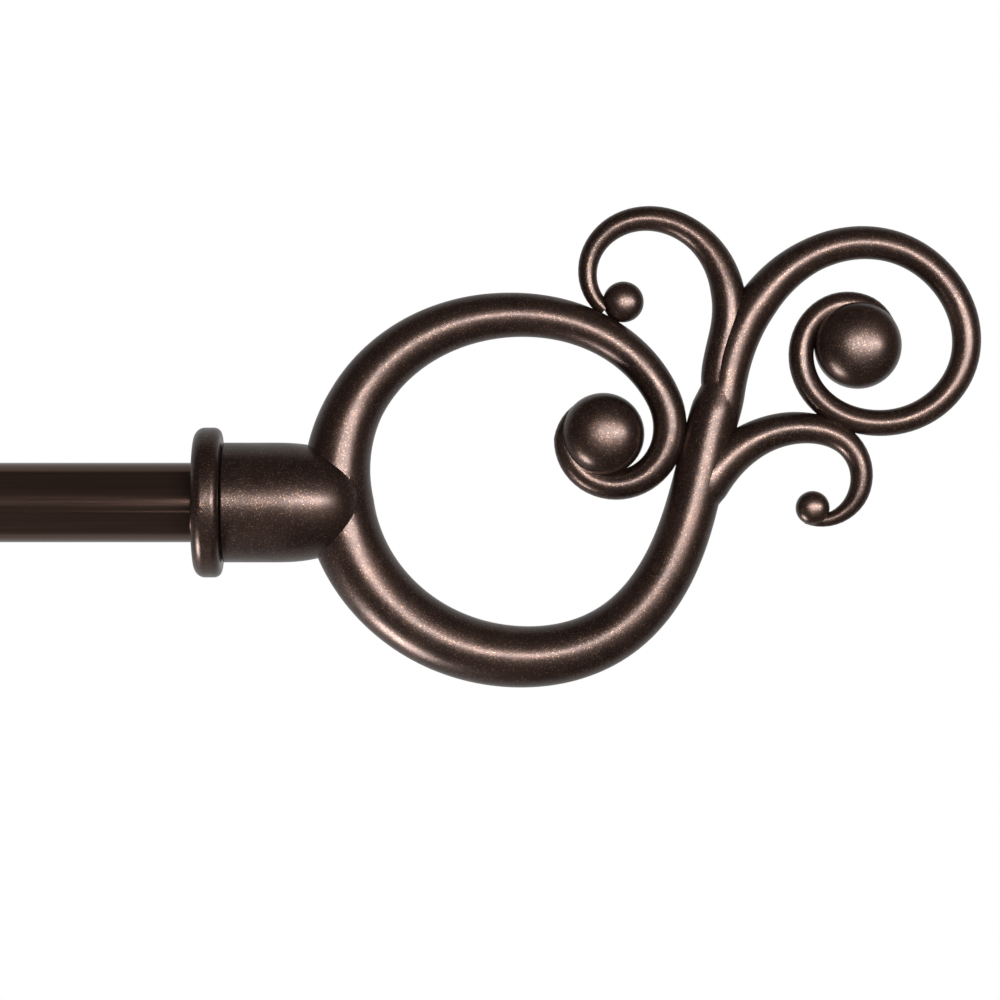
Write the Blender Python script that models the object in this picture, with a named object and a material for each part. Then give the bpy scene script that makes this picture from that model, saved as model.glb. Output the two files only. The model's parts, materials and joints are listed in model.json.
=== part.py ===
"""Telescoping curtain rod with two wall brackets and a scroll finial at each end.

Metres, +Z up. X runs along the rod, +Y points into the wall, and the origin is the middle of the
right-hand wall plate's back face. The rod is at its shortest, and both brackets are at mid reach.
"""

import math

import bmesh
import bpy
from mathutils import Euler, Vector

MM = 0.001
GAP = 0.3 * MM

# Rod: two steel tubes, one inside the other.
ROD_DIAMETER = 20.6 * MM
TUBE_WALL = 0.5 * MM
OUTER_TUBE_LENGTH = 595 * MM
INNER_TUBE_LENGTH = 690 * MM
INNER_TUBE_SHOWING = 116 * MM
GLIDE_FLANGE = 2 * MM
GLIDE_SPIGOT = 8 * MM

# Where the rod hangs.
PROJECTION = 100 * MM
OVERHANG = 90 * MM

# Collar: the bead that hides the tube's end.
COLLAR_DIAMETER = 38.8 * MM
COLLAR_WIDTH = 7.2 * MM
COLLAR_BACK_ROUND = (2.9 * MM, 3.2 * MM)
COLLAR_FRONT_ROUND = (2 * MM, 1.8 * MM)
SOCKET_DEPTH = 5 * MM

# Finial base: a plain drum with a round nose.
BASE_DIAMETER = 31 * MM
DRUM_LENGTH = 13.3 * MM
NOSE_LENGTH = 23.3 * MM
NOSE_POWER = 2.5
NOSE_SHARES = (0.25, 0.45, 0.62, 0.76, 0.87, 0.95, 1)
BASE_CHAMFER = 0.5 * MM

# Finial scrolls. They are drawn at DRAWN_LENGTH, in millimetres from the middle of the base's flat
# face, and brought to FINIAL_LENGTH, which runs from that face to the tip.
DRAWN_LENGTH = 196.2
FINIAL_LENGTH = 196.2 * MM
BAR_STEP = 6
STEPS_IN_BAR_STEP = 12
BALL_DEPTH = 0.86
BALL_POWER = 2.5

# Fixing of the finial: a stud in its base, a plug with a threaded insert in the tube.
STUD_DIAMETER = 6 * MM
STUD_IN_FINIAL = 14 * MM
STUD_IN_INSERT = 9 * MM
STUD_CHAMFER = 0.6 * MM
PLUG_FLANGE = 1.5 * MM
PLUG_SPIGOT = 13.5 * MM
INSERT_DIAMETER = 9 * MM
INSERT_LENGTH = 12 * MM

# Wall plate, its screws and their anchors.
PLATE_WIDTH = 28 * MM
PLATE_HEIGHT = 84 * MM
PLATE_THICKNESS = 3 * MM
PLATE_BEVEL = 0.8 * MM
PLATE_HOLE = 5.2 * MM
HOLE_SPACING = 56 * MM
WALL_SCREW_DIAMETER = 4.2 * MM
WALL_SCREW_LENGTH = 38 * MM
WALL_SCREW_HEAD = (8 * MM, 2.5 * MM)
WALL_SCREW_POINT = 5 * MM
ANCHOR_WALL = 0.8 * MM
ANCHOR_LENGTH = 30 * MM
ANCHOR_DEPTH = 2.4 * MM

# Arm, and the sleeve that it slides in.
ARM_DIAMETER = 10 * MM
ARM_CHAMFER = 0.8 * MM
ARM_ROOM_BEHIND = 12.4 * MM
SLEEVE_WALL = 1.7 * MM
SLEEVE_LENGTH = 55 * MM
SLEEVE_FOOT = (22 * MM, 2.5 * MM)
MOUTH_RING = (18 * MM, 14 * MM)
SLEEVE_CHAMFER = 1 * MM

# Cradle: a U that the rod lies in, open at the top.
CRADLE_CLEARANCE = 0.4 * MM
CRADLE_WALL = 3 * MM
CRADLE_WIDTH = 16 * MM
CRADLE_FRONT_HEIGHT = 6 * MM
CRADLE_BACK_HEIGHT = 9 * MM
HEEL_DEPTH = 16 * MM
HEEL_HEIGHT = 14 * MM
BOSS = (10 * MM, 2 * MM)
CRADLE_SCREW_HEAD = (7.4 * MM, 2 * MM)
CRADLE_SCREW_SUNK = 0.5 * MM
CRADLE_SCREW_IN_ARM = 12 * MM

# Thumb screws that lock the rod in the cradle and the arm in the sleeve.
THUMB_SCREW_DIAMETER = 4 * MM
THUMB_HEAD = (9 * MM, 6 * MM)
THUMB_HEAD_STANDOFF = 1 * MM
THUMB_HEAD_CHAMFER = 0.6 * MM
PAD = (3.4 * MM, 1.5 * MM)

# How many flats stand for a circle, a half circle, and half of a ball's outline.
TUBE_FLATS = 32
BAR_FLATS = 24
SCREW_FLATS = 16
BOSS_FLATS = 20
HALF_CIRCLE_FLATS = 12
BALL_FLATS = 6
SMOOTH_UP_TO = math.radians(35)

# Worked out from the sizes above.
INNER_DIAMETER = ROD_DIAMETER - 2 * TUBE_WALL - 2 * GAP
FINIAL_SETBACK = COLLAR_WIDTH + GAP
TUBE_END_IN_COLLAR = SOCKET_DEPTH - 2 * GAP - PLUG_FLANGE
RIGHT_TUBE_END = OVERHANG + TUBE_END_IN_COLLAR
OUTER_TUBE_MOUTH = RIGHT_TUBE_END - OUTER_TUBE_LENGTH
LEFT_TUBE_END = OUTER_TUBE_MOUTH - INNER_TUBE_SHOWING
LEFT_BRACKET = LEFT_TUBE_END + TUBE_END_IN_COLLAR + OVERHANG
ROD_CENTRE_Y = -PROJECTION

# Finish of each material: colour, metallic, roughness.
FINISHES = {
    "bronze_paint": ((0.045, 0.026, 0.019), 0.6, 0.42),
    "brown_tube_paint": ((0.032, 0.019, 0.015), 0.5, 0.3),
    "black_nylon": ((0.02, 0.02, 0.021), 0.0, 0.5),
    "white_nylon": ((0.75, 0.74, 0.7), 0.0, 0.45),
    "brass": ((0.66, 0.47, 0.2), 1.0, 0.3),
    "zinc_steel": ((0.5, 0.5, 0.5), 1.0, 0.35),
}

# Local +X of a turned piece points this way in the world.
FACING = {
    "right": Euler((0, 0, 0)),
    "left": Euler((0, 0, math.pi)),
    "room": Euler((0, 0, -math.pi / 2)),
    "wall": Euler((0, 0, math.pi / 2)),
    "down": Euler((0, math.pi / 2, 0)),
}


class Scroll:
    """A bar bent in one plane, whose bend eases from one radius to the next along each stretch.

    bend is the bend radius at the start, and each stretch gives its length and the bend radius at
    its end; a positive radius turns left. bar gives the bar's own radius at distances from the start.
    """

    def __init__(self, start, heading, bend, stretches, bar):
        self.start = start
        self.heading = heading
        self.bend = bend
        self.stretches = stretches
        self.bar = bar

    def length(self):
        return sum(length for length, _ in self.stretches)

    def curvature(self, distance):
        """Curvature at a distance from the start, eased within its stretch."""
        before = 1 / self.bend
        for length, bend in self.stretches:
            if distance <= length:
                return before + (1 / bend - before) * distance / length
            distance -= length
            before = 1 / bend
        return before

    def bar_radius(self, distance):
        """Bar radius at a distance from the start, straight between the given ones."""
        for (near, near_radius), (far, far_radius) in zip(self.bar, self.bar[1:]):
            if distance <= far:
                return near_radius + (far_radius - near_radius) * (distance - near) / (far - near)
        return self.bar[-1][1]

    def points(self, step):
        """(along, up, bar radius) about every step, ends included."""
        count = round(self.length() / step)
        pace = self.length() / (count * STEPS_IN_BAR_STEP)
        along, up = self.start
        heading = math.radians(self.heading)
        found = [(along, up, self.bar_radius(0))]
        for index in range(count * STEPS_IN_BAR_STEP):
            turn = self.curvature((index + 0.5) * pace) * pace
            heading += turn / 2
            along += math.cos(heading) * pace
            up += math.sin(heading) * pace
            heading += turn / 2
            if (index + 1) % STEPS_IN_BAR_STEP == 0:
                found.append((along, up, self.bar_radius((index + 1) * pace)))
        return found


SCROLLS = {
    # From the fork down the stem, round the ring and in to the large ball.
    "ring": Scroll(
        (129.8, 31.8), -110, 83,
        ((72, -34.5), (27, -53), (95, -40), (47, -56), (46, -32.5), (2, -18), (58, -10.5)),
        (
            (0, 6), (100, 8), (165, 9.2), (192, 7.5), (240, 5.8), (284, 4.6),
            (320, 3.8), (338, 3.4), (347, 1.6),
        ),
    ),
    # From the fork over the top to the far ball.
    "crest": Scroll(
        (129.8, 27.4), 83, -73,
        ((69, -25.5), (16, -28.5), (18, -20), (33, -25), (38, -13), (26, -10.5)),
        ((0, 5.2), (26, 5.3), (45, 4.5), (80, 4), (130, 3.4), (180, 3.2), (190, 2.7), (200, 1.4)),
    ),
    # From the fork back over the ring to the small upper ball.
    "upper_curl": Scroll(
        (129.9, 25.8), 119, -10.5,
        ((21, 29), (35, 19.5), (38, 11)),
        ((0, 5.4), (12, 4.5), (30, 4.4), (45, 3.6), (69, 3), (94, 2)),
    ),
    # From the stem out under the crest to the small lower ball.
    "lower_curl": Scroll(
        (122.7, 0.8), 62, -48,
        ((38, -22.5), (9, -12), (31, -11)),
        ((0, 6.2), (24, 4.7), (48, 3.3), (62, 2.7), (78, 1.2)),
    ),
}

# Middle (along, up) and radius of each ball, drawn with the scrolls.
BALLS = (
    ((98.4, 17.7), 10.7),
    ((164.3, 40.7), 11.3),
    ((103.6, 51.9), 5.3),
    ((152.6, -1.4), 4.4),
)


def clear_scene():
    for old in list(bpy.data.objects):
        bpy.data.objects.remove(old)


def material(name):
    """The named finish as a material, made once."""
    if name in bpy.data.materials:
        return bpy.data.materials[name]
    colour, metallic, roughness = FINISHES[name]
    made = bpy.data.materials.new(name)
    made.use_nodes = True
    shader = made.node_tree.nodes["Principled BSDF"]
    shader.inputs["Base Color"].default_value = (*colour, 1)
    shader.inputs["Metallic"].default_value = metallic
    shader.inputs["Roughness"].default_value = roughness
    made.diffuse_color = (*colour, 1)
    return made


def place(name, mesh, finish, at, facing, parent):
    """Puts a mesh in the scene as a named piece that moves with its parent."""
    piece = bpy.data.objects.new(name, mesh)
    bpy.context.scene.collection.objects.link(piece)
    piece.location = at
    piece.rotation_euler = FACING[facing]
    if not mesh.materials:
        mesh.materials.append(material(finish))
    follow(piece, parent)
    return piece


def follow(piece, parent):
    bpy.context.view_layer.update()
    if parent:
        piece.parent = parent
        piece.matrix_parent_inverse = parent.matrix_world.inverted()


def joint(name, at, parent=None):
    """An empty on a joint's axis, which carries the pieces that move with that joint."""
    empty = bpy.data.objects.new(name, None)
    bpy.context.scene.collection.objects.link(empty)
    empty.empty_display_size = 0.02
    empty.location = at
    follow(empty, parent)
    return empty


def mesh_from(name, shape):
    """Turns a bmesh into a clean mesh whose round faces are shaded smooth."""
    bmesh.ops.remove_doubles(shape, verts=shape.verts, dist=1e-7)
    bmesh.ops.dissolve_degenerate(shape, edges=shape.edges, dist=1e-7)
    bmesh.ops.recalc_face_normals(shape, faces=shape.faces)
    mesh = bpy.data.meshes.new(name)
    shape.to_mesh(mesh)
    shape.free()
    mesh.shade_smooth()
    mesh.set_sharp_from_angle(angle=SMOOTH_UP_TO)
    return mesh


def turned(name, profile, flats=TUBE_FLATS):
    """Turns (along, radius) points about local X. A profile that is off the axis closes on itself."""
    shape = bmesh.new()
    corners = [shape.verts.new((along, 0, radius)) for along, radius in profile]
    closed = profile[0][1] > 0 and profile[-1][1] > 0
    ends = corners[1:] + corners[:1] if closed else corners[1:]
    edges = [shape.edges.new(pair) for pair in zip(corners, ends)]
    bmesh.ops.spin(
        shape, geom=corners + edges, axis=(1, 0, 0), cent=(0, 0, 0),
        angle=math.tau, steps=flats, use_merge=True,
    )
    return mesh_from(name, shape)


def rod_profile(start, end, radius, chamfer=0.0):
    """Profile of a solid round bar with chamfered ends."""
    return (
        (start, 0),
        (start, radius - chamfer),
        (start + chamfer, radius),
        (end - chamfer, radius),
        (end, radius - chamfer),
        (end, 0),
    )


def tube_profile(start, end, inner, outer):
    return ((start, inner), (start, outer), (end, outer), (end, inner))


def quarter(centre, size, start, points):
    """Points along a quarter ellipse that begins at the angle start and turns clockwise."""
    along, up = centre
    width, height = size
    angles = [math.radians(start - 90 * index / (points - 1)) for index in range(points)]
    return [(along + width * math.cos(a), up + height * math.sin(a)) for a in angles]


def extruded(name, outline, depth):
    """A mesh from a flat (y, z) outline, drawn out along X by depth, half each way."""
    shape = bmesh.new()
    face = shape.faces.new([shape.verts.new((-depth / 2, y, z)) for y, z in outline])
    grown = bmesh.ops.extrude_face_region(shape, geom=[face])["geom"]
    moved = [item for item in grown if isinstance(item, bmesh.types.BMVert)]
    bmesh.ops.translate(shape, verts=moved, vec=(depth, 0, 0))
    return mesh_from(name, shape)


def combined(mesh, operation, tools):
    """Cuts the tools' meshes out of a mesh, or joins them to it, one after another."""
    whole = bpy.data.objects.new("whole", mesh)
    tool = bpy.data.objects.new("tool", mesh)
    for item in (whole, tool):
        bpy.context.scene.collection.objects.link(item)
    boolean = whole.modifiers.new("combine", "BOOLEAN")
    boolean.operation = operation
    boolean.solver = "EXACT"
    boolean.object = tool
    boolean.use_self = operation == "UNION"
    for other in tools:
        tool.data = other
        bpy.context.view_layer.update()
        graph = bpy.context.evaluated_depsgraph_get()
        whole.data = bpy.data.meshes.new_from_object(whole.evaluated_get(graph))
    result = whole.data
    result.name = mesh.name
    bpy.data.objects.remove(tool)
    bpy.data.objects.remove(whole)
    result.shade_smooth()
    result.set_sharp_from_angle(angle=SMOOTH_UP_TO)
    return result


def moved(mesh, offset=(0, 0, 0), facing="right"):
    """The mesh itself, turned to face a way and then moved."""
    turn = FACING[facing].to_matrix().to_4x4()
    turn.translation = Vector(offset)
    mesh.transform(turn)
    return mesh


def hole_mesh(start, end, radius):
    """A round cutter along local X."""
    return turned("hole", rod_profile(start, end, radius), SCREW_FLATS)


def collar_mesh():
    outer = COLLAR_DIAMETER / 2
    back, front = COLLAR_BACK_ROUND, COLLAR_FRONT_ROUND
    socket = ROD_DIAMETER / 2 + GAP
    hole = STUD_DIAMETER / 2 + GAP
    profile = [
        (SOCKET_DEPTH, hole),
        (SOCKET_DEPTH, socket),
        (0, socket),
        *quarter((back[0], outer - back[1]), back, 180, 5),
        *quarter((COLLAR_WIDTH - front[0], outer - front[1]), front, 90, 4),
        (COLLAR_WIDTH, hole),
    ]
    return turned("finial_collar", profile)


def base_mesh():
    """Drum and nose of the finial, with a blind bore for the stud."""
    radius = BASE_DIAMETER / 2
    bore = STUD_DIAMETER / 2 + GAP
    bore_end = STUD_IN_FINIAL + GAP
    profile = [
        (bore_end, 0),
        (bore_end, bore),
        (0, bore),
        (0, radius - BASE_CHAMFER),
        (BASE_CHAMFER, radius),
        (DRUM_LENGTH, radius),
    ]
    for share in NOSE_SHARES:
        height = radius * (1 - share**NOSE_POWER) ** (1 / NOSE_POWER)
        profile.append((DRUM_LENGTH + share * NOSE_LENGTH, height))
    return turned("finial", profile, BAR_FLATS)


def bar_mesh(name, scroll, scale):
    """The scroll's bar as a bevelled curve with closed ends, turned into a mesh."""
    curve = bpy.data.curves.new(name, "CURVE")
    curve.dimensions = "3D"
    curve.bevel_depth = 1
    curve.bevel_resolution = 2
    curve.use_fill_caps = True
    points = scroll.points(BAR_STEP)
    spline = curve.splines.new("POLY")
    spline.points.add(len(points) - 1)
    for point, (along, up, radius) in zip(spline.points, points):
        point.co = (along * scale, 0, up * scale, 1)
        point.radius = radius * scale
    holder = bpy.data.objects.new(name, curve)
    mesh = bpy.data.meshes.new_from_object(holder)
    bpy.data.objects.remove(holder)
    shape = bmesh.new()
    shape.from_mesh(mesh)
    return mesh_from(name, shape)


def ball_mesh(centre, radius, scale):
    """A ball flattened a little from front to back, with full sides."""
    profile = []
    for index in range(BALL_FLATS + 1):
        angle = math.pi * index / BALL_FLATS
        side = abs(math.sin(angle)) ** (2 / BALL_POWER)
        depth = math.copysign(abs(math.cos(angle)) ** (2 / BALL_POWER), -math.cos(angle))
        profile.append((radius * BALL_DEPTH * scale * depth, radius * scale * side))
    profile[0] = (profile[0][0], 0)
    profile[-1] = (profile[-1][0], 0)
    along, up = centre
    return moved(turned("ball", profile, SCREW_FLATS), (along * scale, 0, up * scale), "room")


def finial_mesh():
    """The casting: base, scrolls and balls in one body."""
    scale = FINIAL_LENGTH / DRAWN_LENGTH
    bars = [bar_mesh(name, scroll, scale) for name, scroll in SCROLLS.items()]
    balls = [ball_mesh(centre, radius, scale) for centre, radius in BALLS]
    return combined(bars[0], "UNION", [base_mesh(), *bars[1:], *balls])


def stud_mesh():
    start = -(FINIAL_SETBACK - SOCKET_DEPTH + GAP) - STUD_IN_INSERT
    profile = rod_profile(start, STUD_IN_FINIAL, STUD_DIAMETER / 2, STUD_CHAMFER)
    return turned("finial_stud", profile, SCREW_FLATS)


def plug_mesh(tube_inner_diameter):
    """Flanged plug for a tube's end, its flange's outer face at local X = 0 and its spigot inwards."""
    pocket = INSERT_DIAMETER / 2 + GAP
    spigot = tube_inner_diameter / 2 - GAP
    profile = (
        (-INSERT_LENGTH - GAP, 0),
        (-INSERT_LENGTH - GAP, pocket),
        (0, pocket),
        (0, ROD_DIAMETER / 2),
        (-PLUG_FLANGE, ROD_DIAMETER / 2),
        (-PLUG_FLANGE, spigot),
        (-PLUG_FLANGE - PLUG_SPIGOT, spigot),
        (-PLUG_FLANGE - PLUG_SPIGOT, 0),
    )
    return turned("end_plug", profile)


def insert_mesh():
    profile = tube_profile(-INSERT_LENGTH, 0, STUD_DIAMETER / 2 + GAP, INSERT_DIAMETER / 2)
    return turned("threaded_insert", profile, SCREW_FLATS)


def glide_mesh():
    """Plug in the inner tube's buried end, whose flange's outer face is at local X = 0."""
    flange = INNER_DIAMETER / 2
    spigot = flange - TUBE_WALL - GAP
    profile = (
        (0, 0),
        (0, flange),
        (-GLIDE_FLANGE, flange),
        (-GLIDE_FLANGE, spigot),
        (-GLIDE_FLANGE - GLIDE_SPIGOT, spigot),
        (-GLIDE_FLANGE - GLIDE_SPIGOT, 0),
    )
    return turned("inner_tube_glide", profile)


def plate_mesh():
    """Plate with round ends, its back at Y = 0 and its front edge bevelled."""
    radius = PLATE_WIDTH / 2
    rise = PLATE_HEIGHT / 2 - radius
    outline = []
    for top, first_angle in ((1, 0), (-1, math.pi)):
        for index in range(HALF_CIRCLE_FLATS + 1):
            angle = first_angle + math.pi * index / HALF_CIRCLE_FLATS
            outline.append((radius * math.cos(angle), top * rise + radius * math.sin(angle)))
    shape = bmesh.new()
    face = shape.faces.new([shape.verts.new((x, 0, z)) for x, z in outline])
    grown = bmesh.ops.extrude_face_region(shape, geom=[face])["geom"]
    front = [item for item in grown if isinstance(item, bmesh.types.BMVert)]
    bmesh.ops.translate(shape, verts=front, vec=(0, -PLATE_THICKNESS, 0))
    rim = [edge for edge in shape.edges if all(vert in front for vert in edge.verts)]
    bmesh.ops.bevel(
        shape, geom=rim, offset=PLATE_BEVEL, offset_type="OFFSET",
        segments=2, profile=0.5, affect="EDGES",
    )
    plate = mesh_from("wall_plate", shape)
    holes = []
    for height in (HOLE_SPACING / 2, -HOLE_SPACING / 2):
        hole = hole_mesh(-PLATE_THICKNESS, 2 * PLATE_THICKNESS, PLATE_HOLE / 2)
        holes.append(moved(hole, (0, 0, height), "room"))
    return combined(plate, "DIFFERENCE", holes)


def sleeve_mesh():
    """Sleeve that stands on the plate, with a foot, a thick mouth ring and a screw hole from below."""
    inner = ARM_DIAMETER / 2 + GAP
    outer = inner + SLEEVE_WALL
    foot, foot_length = SLEEVE_FOOT
    ring, ring_length = MOUTH_RING
    edge = SLEEVE_CHAMFER
    profile = (
        (0, inner),
        (0, foot / 2),
        (foot_length - edge, foot / 2),
        (foot_length, foot / 2 - edge),
        (foot_length, outer),
        (SLEEVE_LENGTH - ring_length, outer),
        (SLEEVE_LENGTH - ring_length, ring / 2 - edge),
        (SLEEVE_LENGTH - ring_length + edge, ring / 2),
        (SLEEVE_LENGTH - edge, ring / 2),
        (SLEEVE_LENGTH, ring / 2 - edge),
        (SLEEVE_LENGTH, inner),
    )
    sleeve = turned("arm_sleeve", profile, BAR_FLATS)
    hole = hole_mesh(0, ring, THUMB_SCREW_DIAMETER / 2 + GAP)
    moved(hole, (SLEEVE_LENGTH - ring_length / 2, 0, 0), "down")
    return combined(sleeve, "DIFFERENCE", [hole])


def cradle_inner_radius(tube_diameter):
    return tube_diameter / 2 + CRADLE_CLEARANCE


def cradle_outline(tube_diameter):
    """Outline in (y, z) about the rod's centre, with the wall towards +y."""
    inner = cradle_inner_radius(tube_diameter)
    outer = inner + CRADLE_WALL
    half_heel = HEEL_HEIGHT / 2
    heel_angle = math.asin(half_heel / outer)
    outside = []
    for index in range(HALF_CIRCLE_FLATS + 1):
        angle = math.pi + (math.pi - heel_angle) * index / HALF_CIRCLE_FLATS
        outside.append((outer * math.cos(angle), outer * math.sin(angle)))
    inside = []
    for index in range(HALF_CIRCLE_FLATS + 3):
        angle = -math.pi * index / (HALF_CIRCLE_FLATS + 2)
        inside.append((inner * math.cos(angle), inner * math.sin(angle)))
    return [
        (-outer, CRADLE_FRONT_HEIGHT),
        *outside,
        (HEEL_DEPTH, -half_heel),
        (HEEL_DEPTH, half_heel),
        (outer, half_heel),
        (outer, CRADLE_BACK_HEIGHT),
        (inner, CRADLE_BACK_HEIGHT),
        *inside,
        (-inner, CRADLE_FRONT_HEIGHT),
    ]


def cradle_screw_profile(inner, clearance):
    """Countersunk screw along local X, from its head in the cradle to its end in the arm."""
    head, head_length = CRADLE_SCREW_HEAD
    shank = THUMB_SCREW_DIAMETER / 2 + clearance
    start = inner + CRADLE_SCREW_SUNK - (CRADLE_SCREW_SUNK + GAP if clearance else 0)
    flare = inner + CRADLE_SCREW_SUNK
    return (
        (start, 0),
        (start, head / 2 + clearance),
        (flare + clearance, head / 2 + clearance),
        (flare + head_length + clearance, shank),
        (HEEL_DEPTH + GAP + CRADLE_SCREW_IN_ARM + clearance, shank),
        (HEEL_DEPTH + GAP + CRADLE_SCREW_IN_ARM + clearance, 0),
    )


def cradle_mesh(tube_diameter):
    inner = cradle_inner_radius(tube_diameter)
    outer = inner + CRADLE_WALL
    boss_diameter, boss_height = BOSS
    cradle = extruded("cradle", cradle_outline(tube_diameter), CRADLE_WIDTH)
    boss_profile = rod_profile(inner + CRADLE_WALL / 2, outer + boss_height, boss_diameter / 2)
    boss = turned("boss", boss_profile, BOSS_FLATS)
    cradle = combined(cradle, "UNION", [moved(boss, facing="room")])
    lock_hole = hole_mesh(inner / 2, 2 * outer, THUMB_SCREW_DIAMETER / 2 + GAP)
    screw_hole = turned("hole", cradle_screw_profile(inner, GAP), SCREW_FLATS)
    holes = [moved(lock_hole, facing="room"), moved(screw_hole, facing="wall")]
    return combined(cradle, "DIFFERENCE", holes)


def arm_mesh(length):
    """Arm along local X from its back end, bored at the front for the cradle's screw."""
    bore = THUMB_SCREW_DIAMETER / 2 + GAP
    bottom = length - CRADLE_SCREW_IN_ARM - GAP
    radius = ARM_DIAMETER / 2
    profile = (
        (0, 0),
        (0, radius - ARM_CHAMFER),
        (ARM_CHAMFER, radius),
        (length, radius),
        (length, bore),
        (bottom, bore),
        (bottom, 0),
    )
    return turned("bracket_arm", profile, BAR_FLATS)


def thumb_screw_mesh(shank_start, head_start):
    """Thumb screw along local X: a plain shank, then a chamfered head."""
    head, head_length = THUMB_HEAD
    edge = THUMB_HEAD_CHAMFER
    shank = THUMB_SCREW_DIAMETER / 2
    profile = (
        (shank_start, 0),
        (shank_start, shank),
        (head_start, shank),
        (head_start, head / 2 - edge),
        (head_start + edge, head / 2),
        (head_start + head_length - edge, head / 2),
        (head_start + head_length, head / 2 - edge),
        (head_start + head_length, 0),
    )
    return turned("thumb_screw", profile, SCREW_FLATS)


def wall_screw_mesh():
    """Wall screw along local X from its head's crown, which faces the room, to its point."""
    head, head_height = WALL_SCREW_HEAD
    shank = WALL_SCREW_DIAMETER / 2
    crown = quarter((0, 0), (head_height, head / 2), 180, 5)
    profile = [
        (crown[0][0], 0),
        *crown[1:],
        (0, shank),
        (WALL_SCREW_LENGTH - WALL_SCREW_POINT, shank),
        (WALL_SCREW_LENGTH, 0),
    ]
    return turned("wall_screw", profile, SCREW_FLATS)


def anchor_mesh():
    inner = WALL_SCREW_DIAMETER / 2 + GAP
    profile = tube_profile(0, ANCHOR_LENGTH, inner, inner + ANCHOR_WALL)
    return turned("wall_anchor", profile, SCREW_FLATS)


def add_thumb_screw(name, parent, centre, facing, surface, seat):
    """Pad and thumb screw that press on a round piece.

    centre is on that piece's axis, surface is its radius, and seat is how far out the screw's head
    stops. The pad slides with its own joint, and the screw turns on it.
    """
    pad_diameter, pad_length = PAD
    pad_joint = joint(f"joint_{name}_travel", centre, parent)
    screw_joint = joint(f"joint_{name}_turn", centre, pad_joint)
    pad_start = surface + GAP
    pad_profile = rod_profile(pad_start, pad_start + pad_length, pad_diameter / 2)
    pad = turned("pad", pad_profile, SCREW_FLATS)
    screw = thumb_screw_mesh(pad_start + pad_length + GAP, seat + THUMB_HEAD_STANDOFF)
    place(f"{name}_pad", pad, "white_nylon", centre, facing, pad_joint)
    place(f"{name}_screw", screw, "bronze_paint", centre, facing, screw_joint)


def add_wall_bracket(side, x, parent, shared):
    """Plate, sleeve, screws and anchors: what is fixed to the wall."""
    place(f"wall_plate_{side}", shared["plate"], "bronze_paint", (x, 0, 0), "right", parent)
    sleeve_at = (x, -PLATE_THICKNESS - GAP, 0)
    place(f"arm_sleeve_{side}", shared["sleeve"], "bronze_paint", sleeve_at, "room", parent)
    for level, height in (("upper", HOLE_SPACING / 2), ("lower", -HOLE_SPACING / 2)):
        screw_at = (x, -PLATE_THICKNESS - GAP, height)
        place(f"wall_screw_{side}_{level}", shared["wall_screw"], "bronze_paint", screw_at, "wall", parent)
        anchor_at = (x, ANCHOR_DEPTH, height)
        place(f"wall_anchor_{side}_{level}", shared["anchor"], "white_nylon", anchor_at, "wall", parent)
    ring_diameter, ring_length = MOUTH_RING
    lock_at = (x, sleeve_at[1] - SLEEVE_LENGTH + ring_length / 2, 0)
    add_thumb_screw(f"arm_lock_{side}", parent, lock_at, "down", ARM_DIAMETER / 2, ring_diameter / 2)


def add_arm(side, x, tube_diameter, parent, shared):
    """Arm, cradle and rod lock: what slides in the sleeve and carries the rod."""
    arm_joint = joint(f"joint_projection_{side}", (x, 0, 0), parent)
    rod_centre = (x, ROD_CENTRE_Y, 0)
    arm_back = -PLATE_THICKNESS - GAP - ARM_ROOM_BEHIND
    place(f"bracket_arm_{side}", shared["arm"], "bronze_paint", (x, arm_back, 0), "room", arm_joint)
    cradle = cradle_mesh(tube_diameter)
    place(f"cradle_{side}", cradle, "bronze_paint", rod_centre, "right", arm_joint)
    inner = cradle_inner_radius(tube_diameter)
    screw = turned("cradle_screw", cradle_screw_profile(inner, 0), SCREW_FLATS)
    place(f"cradle_screw_{side}", screw, "zinc_steel", rod_centre, "wall", arm_joint)
    seat = inner + CRADLE_WALL + BOSS[1]
    add_thumb_screw(f"rod_lock_{side}", arm_joint, rod_centre, "room", tube_diameter / 2, seat)
    return arm_joint


def add_finial(side, face_x, tube_diameter, parent, shared):
    """Collar, finial and stud, and the plug in the tube that they screw to."""
    outward = 1 if side == "right" else -1
    plug_at = (face_x + outward * (SOCKET_DEPTH - GAP), ROD_CENTRE_Y, 0)
    plug = plug_mesh(tube_diameter - 2 * TUBE_WALL)
    place(f"end_plug_{side}", plug, "black_nylon", plug_at, side, parent)
    place(f"threaded_insert_{side}", shared["insert"], "brass", plug_at, side, parent)
    collar_at = (face_x, ROD_CENTRE_Y, 0)
    finial_at = (face_x + outward * FINIAL_SETBACK, ROD_CENTRE_Y, 0)
    draw_joint = joint(f"joint_finial_draw_{side}", collar_at, parent)
    turn_joint = joint(f"joint_finial_turn_{side}", finial_at, draw_joint)
    place(f"finial_collar_{side}", shared["collar"], "bronze_paint", collar_at, side, draw_joint)
    place(f"finial_{side}", shared["finial"], "bronze_paint", finial_at, side, turn_joint)
    place(f"finial_stud_{side}", shared["stud"], "zinc_steel", finial_at, side, turn_joint)


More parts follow.
